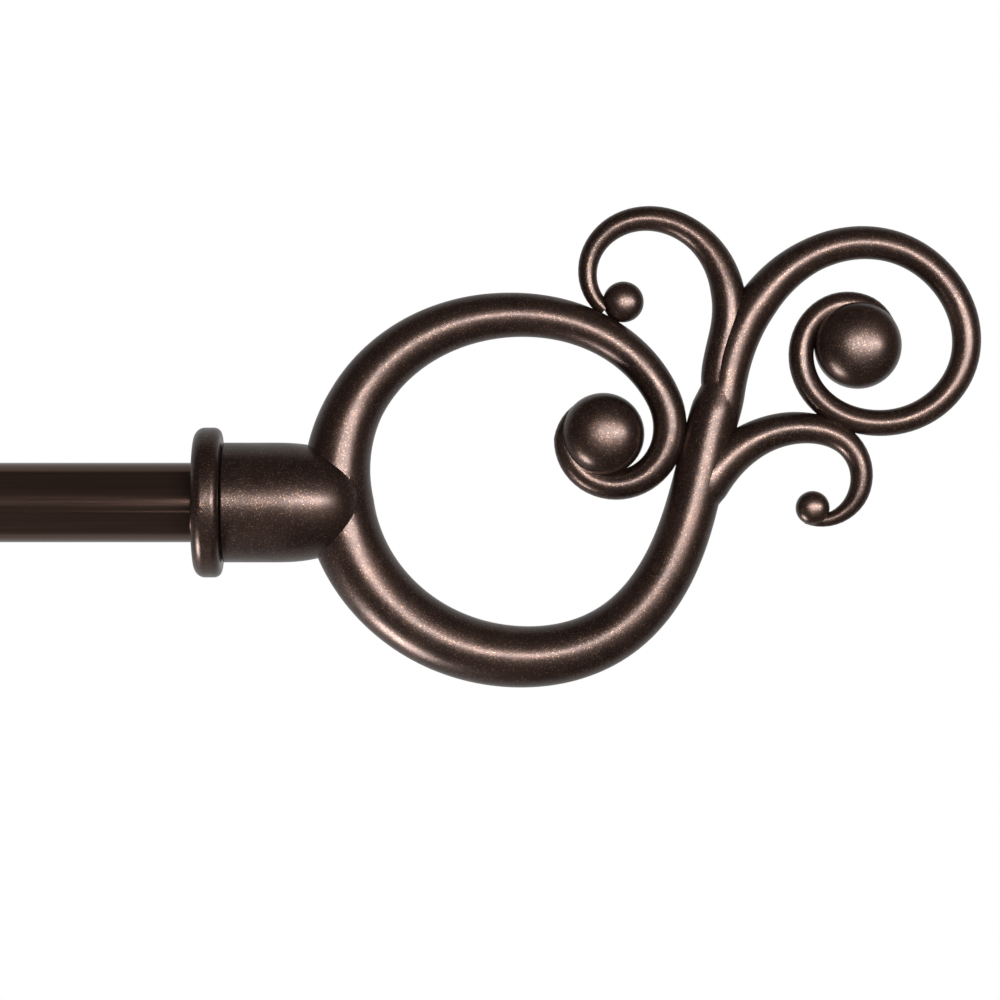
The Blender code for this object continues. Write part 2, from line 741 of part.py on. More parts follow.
def add_rod(carrier, shared):
    """Both tubes and what is on their ends."""
    lift = joint("joint_rod_lift", (0, ROD_CENTRE_Y, 0), carrier)
    outer = turned("outer_tube", tube_profile(
        0, OUTER_TUBE_LENGTH, ROD_DIAMETER / 2 - TUBE_WALL, ROD_DIAMETER / 2))
    place("outer_tube", outer, "brown_tube_paint", (OUTER_TUBE_MOUTH, ROD_CENTRE_Y, 0), "right", lift)
    add_finial("right", OVERHANG, ROD_DIAMETER, lift, shared)

    slide = joint("joint_rod_extension", (OUTER_TUBE_MOUTH, ROD_CENTRE_Y, 0), lift)
    inner = turned("inner_tube", tube_profile(
        0, INNER_TUBE_LENGTH, INNER_DIAMETER / 2 - TUBE_WALL, INNER_DIAMETER / 2))
    place("inner_tube", inner, "brown_tube_paint", (LEFT_TUBE_END, ROD_CENTRE_Y, 0), "right", slide)
    glide_at = (LEFT_TUBE_END + INNER_TUBE_LENGTH + GAP + GLIDE_FLANGE, ROD_CENTRE_Y, 0)
    place("inner_tube_glide", glide_mesh(), "white_nylon", glide_at, "right", slide)
    add_finial("left", LEFT_TUBE_END + TUBE_END_IN_COLLAR, INNER_DIAMETER, slide, shared)


def main():
    clear_scene()
    arm_length = PROJECTION - HEEL_DEPTH - GAP - PLATE_THICKNESS - GAP - ARM_ROOM_BEHIND
    shared = {
        "plate": plate_mesh(),
        "sleeve": sleeve_mesh(),
        "wall_screw": wall_screw_mesh(),
        "anchor": anchor_mesh(),
        "arm": arm_mesh(arm_length),
        "insert": insert_mesh(),
        "collar": collar_mesh(),
        "finial": finial_mesh(),
        "stud": stud_mesh(),
    }
    add_wall_bracket("right", 0, None, shared)
    right_arm = add_arm("right", 0, ROD_DIAMETER, None, shared)
    add_rod(right_arm, shared)
    left_wall = joint("joint_bracket_spacing", (LEFT_BRACKET, 0, 0))
    add_wall_bracket("left", LEFT_BRACKET, left_wall, shared)
    add_arm("left", LEFT_BRACKET, INNER_DIAMETER, left_wall, shared)


main()
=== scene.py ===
"""Looks of a telescoping curtain rod with two wall brackets and a scroll finial at each end."""

import json
import math

import bmesh
import bpy
from mathutils import Matrix, Vector

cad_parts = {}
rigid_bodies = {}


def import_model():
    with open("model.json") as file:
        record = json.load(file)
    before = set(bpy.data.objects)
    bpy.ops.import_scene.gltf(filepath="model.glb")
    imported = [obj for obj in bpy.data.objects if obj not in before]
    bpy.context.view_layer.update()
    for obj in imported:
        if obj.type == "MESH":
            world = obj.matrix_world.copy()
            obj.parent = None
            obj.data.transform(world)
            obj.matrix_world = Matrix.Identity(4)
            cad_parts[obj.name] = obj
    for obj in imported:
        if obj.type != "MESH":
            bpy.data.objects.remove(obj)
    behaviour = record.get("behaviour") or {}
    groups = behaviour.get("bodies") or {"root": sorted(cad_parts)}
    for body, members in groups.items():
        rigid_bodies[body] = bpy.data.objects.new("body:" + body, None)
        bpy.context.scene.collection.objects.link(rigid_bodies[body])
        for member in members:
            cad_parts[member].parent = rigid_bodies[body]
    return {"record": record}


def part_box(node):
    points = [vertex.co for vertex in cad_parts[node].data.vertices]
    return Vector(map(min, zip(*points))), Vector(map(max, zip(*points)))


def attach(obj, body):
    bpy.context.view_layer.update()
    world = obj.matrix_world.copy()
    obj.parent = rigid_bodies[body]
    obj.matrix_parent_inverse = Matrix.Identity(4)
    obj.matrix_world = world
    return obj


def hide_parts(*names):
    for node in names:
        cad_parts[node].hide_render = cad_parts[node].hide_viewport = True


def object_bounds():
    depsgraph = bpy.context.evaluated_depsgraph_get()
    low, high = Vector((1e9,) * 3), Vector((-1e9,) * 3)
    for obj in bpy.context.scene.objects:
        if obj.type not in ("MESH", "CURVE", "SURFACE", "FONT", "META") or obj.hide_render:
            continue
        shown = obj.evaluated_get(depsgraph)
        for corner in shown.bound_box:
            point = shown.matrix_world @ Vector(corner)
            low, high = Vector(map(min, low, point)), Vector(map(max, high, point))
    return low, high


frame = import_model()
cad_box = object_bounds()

MM = 0.001
GAP = 0.3 * MM

# How many flats stand for a full circle on large and small round pieces, and for a rounded corner.
TUBE_FLATS = 96
SMALL_FLATS = 48
CORNER_FLATS = 4
SMOOTH_UP_TO = math.radians(32)

# Finial, in millimetres from the middle of its base's flat face.
BASE_RADIUS = 15.5
DRUM_LENGTH = 13.3
NOSE_LENGTH = 23.3
NOSE_POWER = 2.5
NOSE_STEPS = 28
BAR_STEP = 1.5
STEPS_IN_BAR_STEP = 6
BAR_FLATS = 44
BALL_DEPTH = 0.86
BALL_POWER = 2.5
BALL_STEPS = 28
BALL_FLATS = 56

# Collar bead: width, and the size of the round at its back and at its front.
COLLAR_BACK_ROUND = (2.9 * MM, 3.2 * MM)
COLLAR_FRONT_ROUND = (2 * MM, 1.8 * MM)
SOCKET_DEPTH = 5 * MM
SOCKET_RADIUS = 10.6 * MM
STUD_HOLE_RADIUS = 3.3 * MM

# Gate mark on the collar: radius of its ring and of its wire, and where it sits.
GATE_MARK = (0.8 * MM, 0.11 * MM)
GATE_MARK_AT = (2.9 * MM, math.radians(6.5))

# Tubes, plugs and threads. A pocket is a radius and a depth, an insert a bore and an outside.
TUBE_WALL = 0.5 * MM
EDGE_ROUND = 0.2 * MM
PLUG_FLANGE = 1.5 * MM
PLUG_LENGTH = 13.5 * MM
PLUG_POCKET = (4.8 * MM, 12.3 * MM)
GLIDE_FLANGE = 2 * MM
GLIDE_LENGTH = 8 * MM
GRIP_RINGS_AT = (3.5 * MM, 7 * MM, 10.5 * MM)
GRIP_RING = (0.5 * MM, 0.15 * MM)
INSERT_RADII = (3.25 * MM, 4.35 * MM)
INSERT_RIDGES = 40
INSERT_RIDGE = 0.2 * MM
INSERT_RIDGED_SHARE = 0.7
STUD_RADIUS = 2.7 * MM
STUD_CHAMFER = 0.6 * MM
STUD_RIDGE = 0.36 * MM
STUD_PITCH = 1 * MM
SCREW_PITCH = 0.7 * MM
WALL_SCREW_PITCH = 1.8 * MM

# Brackets.
SLEEVE_WALL = 1.7 * MM
SLEEVE_FOOT = (22 * MM, 2.5 * MM)
MOUTH_RING = (18 * MM, 14 * MM)
CRADLE_CLEARANCE = 0.4 * MM
CRADLE_WALL = 3 * MM
CRADLE_WIDTH = 16 * MM
CRADLE_FRONT_HEIGHT = 6 * MM
CRADLE_BACK_HEIGHT = 9 * MM
HEEL_DEPTH = 16 * MM
HEEL_HEIGHT = 14 * MM
BOSS = (10 * MM, 2 * MM)
CRADLE_SCREW_HEAD = (7.4 * MM, 2 * MM)
CRADLE_SCREW_SUNK = 0.5 * MM
CRADLE_SCREW_IN_ARM = 12 * MM
PLATE_HOLE = 5.2 * MM
PLATE_EDGE = 0.9 * MM
PLATE_EDGE_STEPS = 5
PLATE_END_FLATS = 32
CRADLE_FLATS = 44

# Screws: the cross in a head is the arms' span, their width and their depth.
FINE_THREAD = 0.3 * MM
THUMB_SCREW_DIAMETER = 4 * MM
THUMB_SCREW_CORE = THUMB_SCREW_DIAMETER / 2 - FINE_THREAD
THUMB_HEAD = (4.5 * MM, 6 * MM)
THUMB_RIDGES = 30
THUMB_RIDGE = 0.42 * MM
CRADLE_SCREW_CROSS = (4.2 * MM, 0.9 * MM, 1.7 * MM)
WALL_SCREW_CROSS = (4.6 * MM, 0.9 * MM, 2.1 * MM)
WALL_SCREW_HEAD = (2.5 * MM, 4 * MM)
WALL_SCREW_CORE = 1.45 * MM
WALL_SCREW_NECK = 2.05 * MM
WALL_SCREW_RIDGE = 0.55 * MM
CUTTER_LEAD = 0.1 * MM
ANCHOR_BORE = 2.4 * MM
ANCHOR_RIBS = 8
ANCHOR_RIB = 0.38 * MM
ANCHOR_RIB_SPACING = 3 * MM
ANCHOR_FIRST_RIB = 4 * MM

BODY_OF = {
    node: body
    for body, nodes in frame["record"]["behaviour"]["bodies"].items()
    for node in nodes
}

# Local +X of a turned piece points this way in the room.
FACING = {
    "right": Matrix.Identity(4),
    "left": Matrix.Rotation(math.pi, 4, "Z"),
    "room": Matrix.Rotation(-math.pi / 2, 4, "Z"),
    "wall": Matrix.Rotation(math.pi / 2, 4, "Z"),
    "down": Matrix.Rotation(math.pi / 2, 4, "Y"),
}


class Scroll:
    """A bar bent in one plane, whose bend eases from one radius to the next along each stretch.

    bend is the bend radius at the start, and each stretch gives its length and the bend radius
    at its end; a positive radius turns left. bar gives the bar's own radius at distances from
    the start.
    """

    def __init__(self, start, heading, bend, stretches, bar):
        self.start = start
        self.heading = heading
        self.bend = bend
        self.stretches = stretches
        self.bar = bar

    def length(self):
        return sum(length for length, _ in self.stretches)

    def curvature(self, distance):
        before = 1 / self.bend
        for length, bend in self.stretches:
            if distance <= length:
                return before + (1 / bend - before) * distance / length
            distance -= length
            before = 1 / bend
        return before

    def bar_radius(self, distance):
        for (near, near_radius), (far, far_radius) in zip(self.bar, self.bar[1:]):
            if distance <= far:
                return near_radius + (far_radius - near_radius) * (distance - near) / (far - near)
        return self.bar[-1][1]

    def points(self):
        """(along, up, bar radius) about every BAR_STEP, ends included."""
        count = round(self.length() / BAR_STEP)
        pace = self.length() / (count * STEPS_IN_BAR_STEP)
        along, up = self.start
        heading = math.radians(self.heading)
        found = [(along, up, self.bar_radius(0))]
        for index in range(count * STEPS_IN_BAR_STEP):
            turn = self.curvature((index + 0.5) * pace) * pace
            heading += turn / 2
            along += math.cos(heading) * pace
            up += math.sin(heading) * pace
            heading += turn / 2
            if (index + 1) % STEPS_IN_BAR_STEP == 0:
                found.append((along, up, self.bar_radius((index + 1) * pace)))
        return found


SCROLLS = {
    # From inside the fork down the stem, round the ring and in to the large ball.
    "ring": Scroll(
        (129.8, 31.8), -110, 83,
        ((72, -34.5), (27, -53), (95, -40), (47, -56), (46, -32.5), (2, -18), (58, -10.5)),
        (
            (0, 4.6), (8, 6.2), (100, 8), (165, 9.2), (192, 7.5), (240, 5.8), (284, 4.6),
            (320, 3.8), (338, 3.4), (347, 1.6),
        ),
    ),
    # Out of the stem, over the top to the far ball.
    "crest": Scroll(
        (126.5, 13.8), 70, 61.7,
        (
            (14, 61.7), (0.01, -73), (69, -25.5), (16, -28.5), (18, -20), (33, -25), (38, -13),
            (26, -10.5),
        ),
        (
            (0, 4.1), (14, 5.2), (40, 5.3), (59, 4.5), (94, 4), (144, 3.4), (194, 3.2),
            (204, 2.7), (214, 1.4),
        ),
    ),
    # From the fork back over the ring to the small upper ball.
    "upper_curl": Scroll(
        (129.9, 25.8), 119, -10.5,
        ((21, 29), (35, 19.5), (38, 11)),
        ((0, 4.9), (12, 4.5), (30, 4.4), (45, 3.6), (69, 3), (94, 2)),
    ),
    # From the stem out under the crest to the small lower ball.
    "lower_curl": Scroll(
        (122.7, 0.8), 62, -48,
        ((38, -22.5), (9, -12), (31, -11)),
        ((0, 5.4), (5, 6), (24, 4.7), (48, 3.3), (62, 2.7), (78, 1.2)),
    ),
}

# Middle (along, up) and radius of each ball, drawn with the scrolls.
BALLS = (
    ((98.4, 17.7), 10.7),
    ((164.3, 40.7), 11.3),
    ((103.6, 51.9), 5.3),
    ((152.6, -1.4), 4.4),
)


def feed(links, socket, value):
    """Links a value that is another node's socket, or sets it as a constant."""
    if isinstance(value, bpy.types.NodeSocket):
        links.new(value, socket)
    else:
        socket.default_value = value


def socket_of(node, key):
    """A node's input by its place, as i0, or by its name, as Profile_Curve."""
    if key[0] == "i" and key[1:].isdigit():
        return node.inputs[int(key[1:])]
    return node.inputs[key.replace("_", " ")]


# ---------------------------------------------------------------- materials


class Finish:
    """A material under construction, with short ways to add nodes and links."""

    def __init__(self, name):
        self.material = bpy.data.materials.new(name)
        self.material.use_nodes = True
        self.nodes = self.material.node_tree.nodes
        self.links = self.material.node_tree.links
        self.shader = self.nodes["Principled BSDF"]
        self.place = self.nodes.new("ShaderNodeTexCoord").outputs["Object"]

    def node(self, kind, settings=None, **inputs):
        made = self.nodes.new(f"ShaderNode{kind}")
        for key, value in (settings or {}).items():
            setattr(made, key, value)
        for key, value in inputs.items():
            feed(self.links, socket_of(made, key), value)
        return made

    def noise(self, scale, detail=3.0, stretch=None):
        place = self.place
        if stretch:
            place = self.node("Mapping", Vector=place, Scale=stretch).outputs[0]
        return self.node("TexNoise", Vector=place, Scale=scale, Detail=detail).outputs["Fac"]

    def range(self, value, low, high, start=0.0, end=1.0):
        return self.node("MapRange", Value=value, i1=start, i2=end, i3=low, i4=high).outputs[0]

    def ramp(self, value, *stops):
        made = self.node("ValToRGB", Fac=value)
        elements = made.color_ramp.elements
        while len(elements) < len(stops):
            elements.new(0.5)
        for element, (position, colour) in zip(elements, stops):
            element.position = position
            element.color = (*colour, 1)
        return made.outputs[0]

    def mix(self, share, first, second):
        made = self.node("Mix", {"data_type": "RGBA"})
        for place, value in ((0, share), (6, first), (7, second)):
            feed(self.links, made.inputs[place], value)
        return made.outputs[2]

    def bump(self, height, strength, depth):
        return self.node("Bump", Height=height, Strength=strength, Distance=depth).outputs[0]

    def set(self, **inputs):
        for key, value in inputs.items():
            feed(self.links, socket_of(self.shader, key), value)


def flake_paint(name, dark, warm, flake, gold, share=0.26, tilt=0.06, roughness=0.35):
    """Dark metallic paint with fine flakes that lie at slightly different angles."""
    finish = Finish(name)
    grains = finish.node("TexVoronoi", Vector=finish.place, Scale=5000.0)
    random = finish.node("SeparateColor", Color=grains.outputs["Color"])
    cloud = finish.noise(70.0, 4.0)
    ground = finish.mix(finish.range(cloud, 0.0, 1.0, 0.35, 0.65), (*dark, 1), (*warm, 1))
    is_flake = finish.range(random.outputs[0], 0.0, 1.0, 1 - share, 1 - share + 0.08)
    tint = finish.ramp(random.outputs[1], (0.0, flake), (0.75, flake), (0.9, gold), (1.0, gold))
    colour = finish.mix(is_flake, ground, tint)
    shift = finish.node(
        "VectorMath", {"operation": "SUBTRACT"}, i0=grains.outputs["Color"], i1=(0.5, 0.5, 0.5))
    shift = finish.node("VectorMath", {"operation": "SCALE"}, i0=shift.outputs[0], Scale=tilt)
    peel = finish.bump(finish.noise(520.0, 2.0), 0.25, 0.00006)
    normal = finish.node("VectorMath", {"operation": "ADD"}, i0=peel, i1=shift.outputs[0])
    normal = finish.node("VectorMath", {"operation": "NORMALIZE"}, i0=normal.outputs[0])
    rough = finish.range(finish.noise(160.0, 3.0), roughness - 0.05, roughness + 0.05, 0.3, 0.7)
    finish.set(
        Base_Color=colour, Metallic=0.82, Roughness=rough, Normal=normal.outputs[0],
        Coat_Weight=0.25, Coat_Roughness=0.3,
    )
    return finish.material


def tube_paint(name):
    """Smooth brown paint with a metallic sheen and faint lines along the tube."""
    finish = Finish(name)
    lines = finish.noise(900.0, 3.0, (0.02, 1.0, 1.0))
    cloud = finish.noise(18.0, 3.0, (0.4, 1.0, 1.0))
    share = finish.node(
        "Math", {"operation": "ADD"}, i0=finish.range(lines, 0.0, 0.45, 0.3, 0.7), i1=cloud)
    colour = finish.ramp(
        share.outputs[0], (0.25, (0.060, 0.034, 0.026)), (0.95, (0.098, 0.058, 0.044)))
    rough = finish.range(lines, 0.11, 0.17, 0.3, 0.7)
    finish.set(
        Base_Color=colour, Metallic=0.9, Roughness=rough,
        Normal=finish.bump(lines, 0.12, 0.00002),
    )
    return finish.material


def bare_metal(name, low, high, roughness, grain):
    """Bare or plated metal with fine scratches and a cloudy tint."""
    finish = Finish(name)
    cloud = finish.noise(240.0, 4.0)
    scratches = finish.noise(grain, 3.0, (1.0, 0.15, 1.0))
    finish.set(
        Base_Color=finish.ramp(cloud, (0.3, low), (0.7, high)), Metallic=1.0,
        Roughness=finish.range(scratches, roughness - 0.07, roughness + 0.1, 0.3, 0.7),
        Normal=finish.bump(scratches, 0.15, 0.00003),
    )
    return finish.material


def moulded_nylon(name, low, high, roughness):
    """Moulded plastic with a fine stipple."""
    finish = Finish(name)
    stipple = finish.noise(2600.0, 2.0)
    cloud = finish.noise(60.0, 3.0)
    finish.set(
        Base_Color=finish.ramp(cloud, (0.3, low), (0.7, high)),
        Roughness=finish.range(stipple, roughness - 0.06, roughness + 0.08, 0.3, 0.7),
        Normal=finish.bump(stipple, 0.3, 0.00003),
    )
    return finish.material


FINISHES = {
    "finial_paint": flake_paint(
        "bronze_flake_paint", (0.023, 0.0115, 0.0088), (0.037, 0.0190, 0.0140),
        (0.060, 0.033, 0.0235), (0.17, 0.094, 0.054)),
    "bracket_paint": flake_paint(
        "bracket_bronze_paint", (0.022, 0.0115, 0.009), (0.036, 0.0195, 0.0145),
        (0.058, 0.032, 0.022), (0.15, 0.085, 0.05), share=0.24),
    "screw_paint": flake_paint(
        "screw_bronze_paint", (0.026, 0.0145, 0.011), (0.042, 0.024, 0.018),
        (0.055, 0.031, 0.021), (0.13, 0.075, 0.045), share=0.2, roughness=0.32),
    "tube_paint": tube_paint("tube_satin_brown"),
    "zinc_steel": bare_metal(
        "zinc_plated_steel", (0.50, 0.51, 0.54), (0.68, 0.67, 0.64), roughness=0.3, grain=900.0),
    "brass_insert": bare_metal(
        "turned_brass", (0.58, 0.39, 0.15), (0.76, 0.55, 0.26), roughness=0.26, grain=1200.0),
    "black_nylon": moulded_nylon(
        "black_nylon_moulding", (0.012, 0.012, 0.013), (0.026, 0.026, 0.028), roughness=0.48),
    "white_nylon": moulded_nylon(
        "white_nylon_moulding", (0.70, 0.69, 0.64), (0.80, 0.79, 0.75), roughness=0.45),
}
SLOT_OF = {
    row["node"]: row["material_slot"] for row in frame["record"]["subparts"]
}


# ---------------------------------------------------------------- meshes


def mesh_from(name, shape):
    """Turns a bmesh into a clean mesh whose faces point outwards."""
    bmesh.ops.remove_doubles(shape, verts=shape.verts, dist=1e-7)
    bmesh.ops.dissolve_degenerate(shape, edges=shape.edges, dist=1e-7)
    bmesh.ops.recalc_face_normals(shape, faces=shape.faces)
    mesh = bpy.data.meshes.new(name)
    shape.to_mesh(mesh)
    shape.free()
    return mesh


def softened(corners, closed):
    """(along, radius) points of a profile whose (along, radius, rounding) corners are rounded."""
    points = []
    count = len(corners)
    for index, (along, radius, rounding) in enumerate(corners):
        corner = Vector((along, radius))
        if not rounding or (not closed and index in (0, count - 1)):
            points.append((along, radius))
            continue
        before = (Vector(corners[index - 1][:2]) - corner).normalized()
        after = (Vector(corners[(index + 1) % count][:2]) - corner).normalized()
        half = before.angle(after) / 2
        centre = corner + (before + after).normalized() * rounding / math.sin(half)
        first = corner + before * rounding / math.tan(half) - centre
        last = corner + after * rounding / math.tan(half) - centre
        sweep = first.angle_signed(last)
        for step in range(CORNER_FLATS + 1):
            turn = Matrix.Rotation(-sweep * step / CORNER_FLATS, 2)
            points.append(tuple(centre + turn @ first))
    return points


def turned(name, corners, flats=SMALL_FLATS):
    """A mesh turned about local X; a profile that is off the axis closes on itself."""
    corners = [corner if len(corner) == 3 else (*corner, 0) for corner in corners]
    closed = corners[0][1] > 0 and corners[-1][1] > 0
    profile = softened(corners, closed)
    shape = bmesh.new()
    made = [shape.verts.new((along, 0, radius)) for along, radius in profile]
    ends = made[1:] + made[:1] if closed else made[1:]
    edges = [shape.edges.new(pair) for pair in zip(made, ends)]
    bmesh.ops.spin(
        shape, geom=made + edges, axis=(1, 0, 0), cent=(0, 0, 0),
        angle=math.tau, steps=flats, use_merge=True,
    )
    return mesh_from(name, shape)


def rod(start, end, radius, rounding=0.0):
    return ((start, 0), (start, radius, rounding), (end, radius, rounding), (end, 0))


def tube(start, end, inner, outer, rounding=0.0):
    return (
        (start, inner, rounding), (start, outer, rounding),
        (end, outer, rounding), (end, inner, rounding),
    )


def quarter(centre, size, start, count):
    """Points along a quarter ellipse that begins at the angle start and turns clockwise."""
    along, up = centre
    width, height = size
    angles = [math.radians(start - 90 * index / count) for index in range(count + 1)]
    return [(along + width * math.cos(a), up + height * math.sin(a)) for a in angles]


def with_modifier(mesh, kind, **settings):
    """The mesh after one modifier."""
    holder = bpy.data.objects.new("holder", mesh)
    bpy.context.scene.collection.objects.link(holder)
    modifier = holder.modifiers.new("change", kind)
    for key, value in settings.items():
        setattr(modifier, key, value)
    bpy.context.view_layer.update()
    graph = bpy.context.evaluated_depsgraph_get()
    made = bpy.data.meshes.new_from_object(holder.evaluated_get(graph))
    made.name = mesh.name
    bpy.data.objects.remove(holder)
    return made


def combined(mesh, operation, *tools, solver="EXACT"):
    """Cuts the tools' meshes out of a mesh, or joins them to it, one after another."""
    for other in tools:
        tool = bpy.data.objects.new("tool", other)
        bpy.context.scene.collection.objects.link(tool)
        mesh = with_modifier(
            mesh, "BOOLEAN", operation=operation, solver=solver, object=tool,
            use_self=operation == "UNION",
        )
        bpy.data.objects.remove(tool)
    return mesh


def moved(mesh, offset=(0, 0, 0), facing="right"):
    """The same mesh, turned to face that way and then shifted."""
    turn = FACING[facing].copy()
    turn.translation = Vector(offset)
    mesh.transform(turn)
    return mesh


def together(name, *meshes):
    """One mesh that holds all of these, their materials left out."""
    shape = bmesh.new()
    for mesh in meshes:
        shape.from_mesh(mesh)
    mesh = bpy.data.meshes.new(name)
    shape.to_mesh(mesh)
    shape.free()
    return mesh


# ---------------------------------------------------------------- geometry trees


class Tree:
    """A geometry tree with named sizes, whose result is real faces in one finish."""

    def __init__(self, name, **sizes):
        self.tree = bpy.data.node_groups.new(name, "GeometryNodeTree")
        face = self.tree.interface
        face.new_socket("Path", in_out="INPUT", socket_type="NodeSocketGeometry")
        self.ids = {}
        for label, value in sizes.items():
            kind = "NodeSocketInt" if isinstance(value, int) else "NodeSocketFloat"
            socket = face.new_socket(label.replace("_", " "), in_out="INPUT", socket_type=kind)
            socket.default_value = value
            self.ids[label] = socket.identifier
        finish = face.new_socket("Finish", in_out="INPUT", socket_type="NodeSocketMaterial")
        self.ids["Finish"] = finish.identifier
        face.new_socket("Shape", in_out="OUTPUT", socket_type="NodeSocketGeometry")
        self.start = self.tree.nodes.new("NodeGroupInput")

    def size(self, label):
        return self.start.outputs[label.replace("_", " ")]

    def add(self, kind, settings=None, **inputs):
        made = self.tree.nodes.new(kind)
        for key, value in (settings or {}).items():
            setattr(made, key, value)
        for key, value in inputs.items():
            feed(self.tree.links, socket_of(made, key), value)
        return made

    def times(self, first, second):
        return self.add("ShaderNodeMath", {"operation": "MULTIPLY"}, i0=first, i1=second).outputs[0]

    def close(self, geometry):
        real = self.add("GeometryNodeRealizeInstances", i0=geometry)
        painted = self.add(
            "GeometryNodeSetMaterial", Geometry=real.outputs[0],
            Material=self.start.outputs["Finish"])
        end = self.tree.nodes.new("NodeGroupOutput")
        self.tree.links.new(painted.outputs[0], end.inputs[0])
        return self

    def made(self, name, finish, path=None, **sizes):
        """The tree's result as a plain mesh."""
        holder = bpy.data.objects.new(name, path or bpy.data.meshes.new(name))
        bpy.context.scene.collection.objects.link(holder)
        modifier = holder.modifiers.new("tree", "NODES")
        modifier.node_group = self.tree
        for label, value in sizes.items():
            modifier[self.ids[label]] = value
        modifier[self.ids["Finish"]] = finish
        bpy.context.view_layer.update()
        graph = bpy.context.evaluated_depsgraph_get()
        mesh = bpy.data.meshes.new_from_object(holder.evaluated_get(graph))
        mesh.name = name
        bpy.data.objects.remove(holder)
        return mesh


def bar_tree():
    """A round bar swept along the path, as thick at each point as its bar_radius says."""
    tree = Tree("swept_bar", Flats=BAR_FLATS)
    curve = tree.add("GeometryNodeMeshToCurve", Mesh=tree.start.outputs["Path"])
    radius = tree.add("GeometryNodeInputNamedAttribute", {"data_type": "FLOAT"}, Name="bar_radius")
    ring = tree.add("GeometryNodeCurvePrimitiveCircle", Resolution=tree.size("Flats"), Radius=1.0)
    bar = tree.add(
        "GeometryNodeCurveToMesh", Curve=curve.outputs[0], Profile_Curve=ring.outputs[0],
        Scale=radius.outputs[0], Fill_Caps=True)
    return tree.close(bar.outputs[0])


def thread_tree():
    """A ridge that winds along Z."""
    tree = Tree("wound_thread", Radius=0.003, Pitch=0.001, Turns=9.0, Ridge=0.0004)
    spiral = tree.add(
        "GeometryNodeCurveSpiral", Resolution=24, Rotations=tree.size("Turns"),
        Start_Radius=tree.size("Radius"), End_Radius=tree.size("Radius"),
        Height=tree.times(tree.size("Turns"), tree.size("Pitch")))
    ridge = tree.add("GeometryNodeCurvePrimitiveCircle", Resolution=4, Radius=tree.size("Ridge"))
    wound = tree.add(
        "GeometryNodeCurveToMesh", Curve=spiral.outputs[0], Profile_Curve=ridge.outputs[0],
        Fill_Caps=True)
    return tree.close(wound.outputs[0])


def ridge_tree():
    """Straight ridges side by side round a head that stands along Z."""
    tree = Tree("knurled_ridges", Count=36, Radius=0.0043, Length=0.004, Ridge=0.0004)
    circle = tree.add(
        "GeometryNodeMeshCircle", Vertices=tree.size("Count"), Radius=tree.size("Radius"))
    ridge = tree.add(
        "GeometryNodeMeshCone", Vertices=4, Side_Segments=1, Fill_Segments=1,
        Radius_Top=tree.size("Ridge"), Radius_Bottom=tree.size("Ridge"), Depth=tree.size("Length"))
    index = tree.add("GeometryNodeInputIndex")
    share = tree.add(
        "ShaderNodeMath", {"operation": "DIVIDE"}, i0=index.outputs[0], i1=tree.size("Count"))
    turn = tree.add("ShaderNodeCombineXYZ", Z=tree.times(share.outputs[0], math.tau))
    placed = tree.add(
        "GeometryNodeInstanceOnPoints", Points=circle.outputs[0], Instance=ridge.outputs[0],
        Rotation=turn.outputs[0])
    return tree.close(placed.outputs[0])


def rib_tree():
    """Barbed rings one after another along Z."""
    tree = Tree("anchor_ribs", Count=7, Radius=0.003, Spacing=0.003, Rib=0.0004)
    offset = tree.add("ShaderNodeCombineXYZ", Z=tree.size("Spacing"))
    line = tree.add("GeometryNodeMeshLine", Count=tree.size("Count"), Offset=offset.outputs[0])
    circle = tree.add(
        "GeometryNodeCurvePrimitiveCircle", Resolution=SMALL_FLATS, Radius=tree.size("Radius"))
    barb = tree.add("GeometryNodeCurvePrimitiveCircle", Resolution=3, Radius=tree.size("Rib"))
    ring = tree.add(
        "GeometryNodeCurveToMesh", Curve=circle.outputs[0], Profile_Curve=barb.outputs[0])
    placed = tree.add(
        "GeometryNodeInstanceOnPoints", Points=line.outputs[0], Instance=ring.outputs[0])
    return tree.close(placed.outputs[0])


BAR = bar_tree()
THREAD = thread_tree()
RIDGES = ridge_tree()
RIBS = rib_tree()
UP_TO_ALONG = Matrix.Rotation(math.pi / 2, 4, "Y")


def along_x(mesh, start):
    """Lays a mesh that stands along Z down along local X, from start on."""
    mesh.transform(Matrix.Translation((start, 0, 0)) @ UP_TO_ALONG)
    return mesh


def thread(finish, start, length, radius, pitch, ridge):
    turns = (length - 2 * ridge) / pitch
    wound = THREAD.made("thread", finish, Radius=radius, Pitch=pitch, Turns=turns, Ridge=ridge)
    return along_x(wound, start + ridge)


# ---------------------------------------------------------------- placing


def add_piece(node, mesh, facing="right", at=(0, 0, 0)):
    """Puts a finished mesh in place of a CAD node, painted and riding on that node's body."""
    moved(mesh, at, facing)
    slot = SLOT_OF[node]
    mesh.materials.clear()
    mesh.materials.append(FINISHES[slot])
    for face in mesh.polygons:
        face.material_index = 0
    mesh.shade_smooth()
    mesh.set_sharp_from_angle(angle=SMOOTH_UP_TO)
    mesh = with_modifier(mesh, "WEIGHTED_NORMAL", keep_sharp=True)
    mesh.name = f"{node}_detailed"
    piece = bpy.data.objects.new(f"{node}_detailed", mesh)
    bpy.context.scene.collection.objects.link(piece)
    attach(piece, BODY_OF[node])
    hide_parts(node)
    return piece


def middle_of(node):
    low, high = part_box(node)
    return (low + high) / 2


def end_of(node, facing, end="start"):
    """The point on a node's own axis where its local X starts or ends."""
    low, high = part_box(node)
    point = middle_of(node)
    axis, positive = {"right": (0, True), "left": (0, False), "room": (1, False),
                      "wall": (1, True), "down": (2, False)}[facing]
    point[axis] = low[axis] if (end == "start") == positive else high[axis]
    return point


